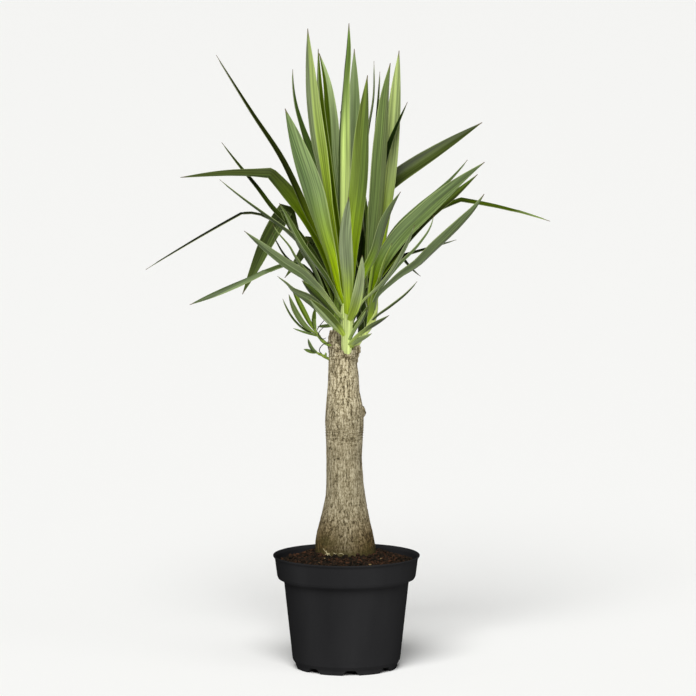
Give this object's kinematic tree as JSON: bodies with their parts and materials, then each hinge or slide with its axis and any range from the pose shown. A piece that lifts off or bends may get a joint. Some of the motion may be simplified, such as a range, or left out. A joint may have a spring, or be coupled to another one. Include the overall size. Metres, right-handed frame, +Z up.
{
  "type": "potted yucca",
  "caption": "Single-cane yucca with leafy heads of folded sword-shaped leaves, a furrowed bark trunk and small side shoots, in a plain tapered nursery pot filled with soil.",
  "frame": {"origin": "on the pot's axis at the height of the surface that it stands on, which is the bottom centre of the whole plant's box", "axes": "+Z up, along the plant's height; -Y towards the side seen in the picture; +X to that view's right"},
  "size_m": [0.468, 0.3313, 0.7435],
  "materials": {
    "pot": "satin",
    "soil": "matte",
    "cane": "matte",
    "head_front": "satin",
    "head_right": "satin",
    "head_left": "satin",
    "sprout_upper": "satin",
    "sprout_lower": "satin"
  },
  "bodies": {
    "root": {"pot": "pot", "soil": "soil", "cane": "cane", "head_front": "head_front", "head_right": "head_right", "head_left": "head_left", "sprout_upper": "sprout_upper", "sprout_lower": "sprout_lower"}
  },
  "joints": []
}
